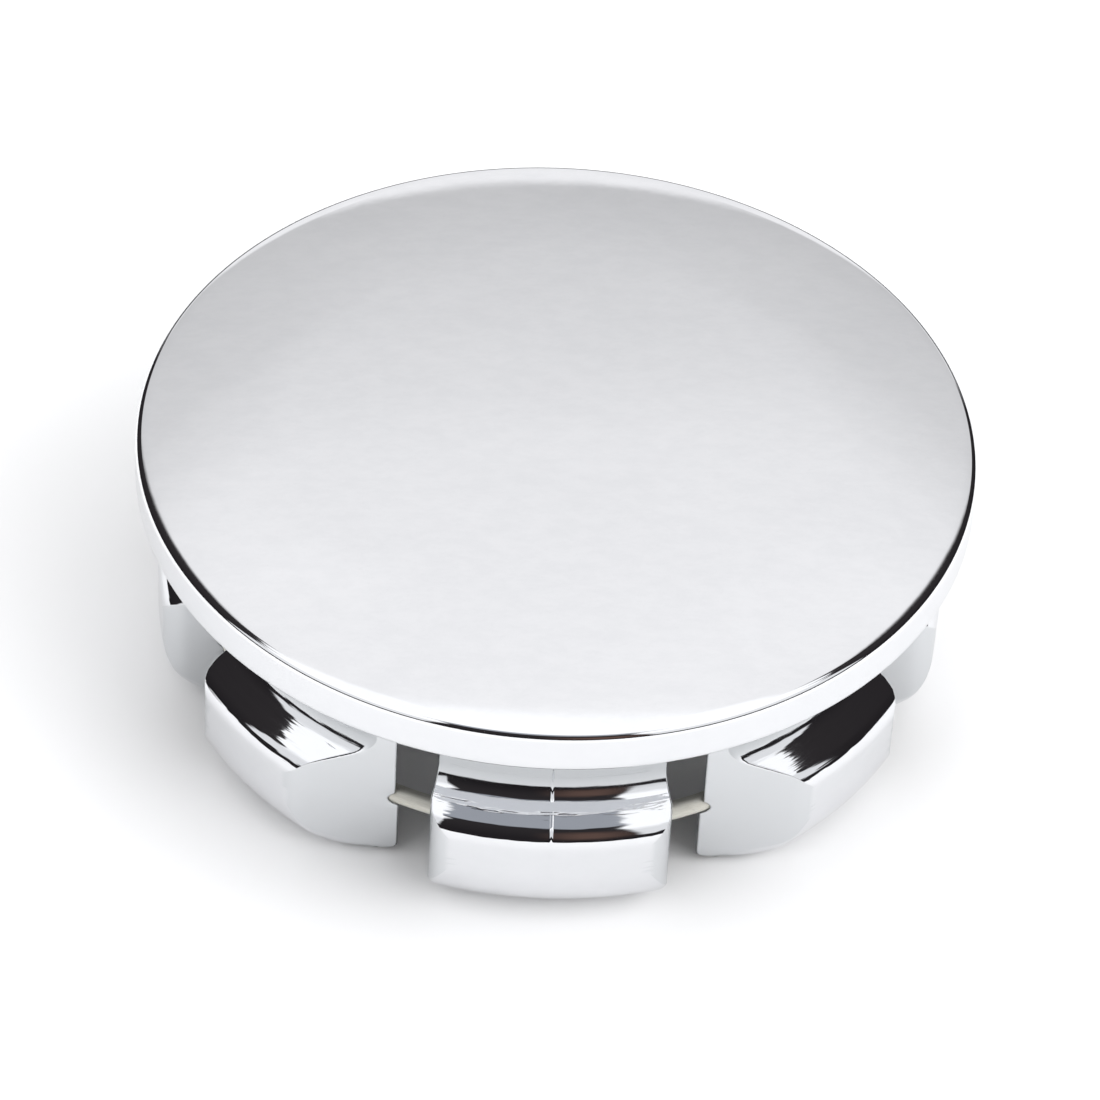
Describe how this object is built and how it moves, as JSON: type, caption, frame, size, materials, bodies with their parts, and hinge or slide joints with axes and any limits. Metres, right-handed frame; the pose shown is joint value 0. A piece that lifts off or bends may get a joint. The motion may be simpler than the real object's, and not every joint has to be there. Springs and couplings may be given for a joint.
{
  "type": "wheel centre cap",
  "caption": "Round chrome-plated snap-in centre cap for a wheel: crowned face, ring of barbed legs and a wire retaining ring.",
  "frame": {"origin": "middle of the feet, on the surface that the cap stands on", "axes": "+Z along the cap's axis, out of the face; -Y through the front leg, +X and -X along the pull of the mould's side slides"},
  "size_m": [0.0635, 0.0634, 0.0229],
  "materials": {
    "chrome_plating": "mirror-bright chrome plating on moulded plastic",
    "spring_wire": "drawn spring steel wire"
  },
  "bodies": {
    "root": {"cap": "chrome_plating", "retaining_ring": "spring_wire"}
  },
  "joints": []
}
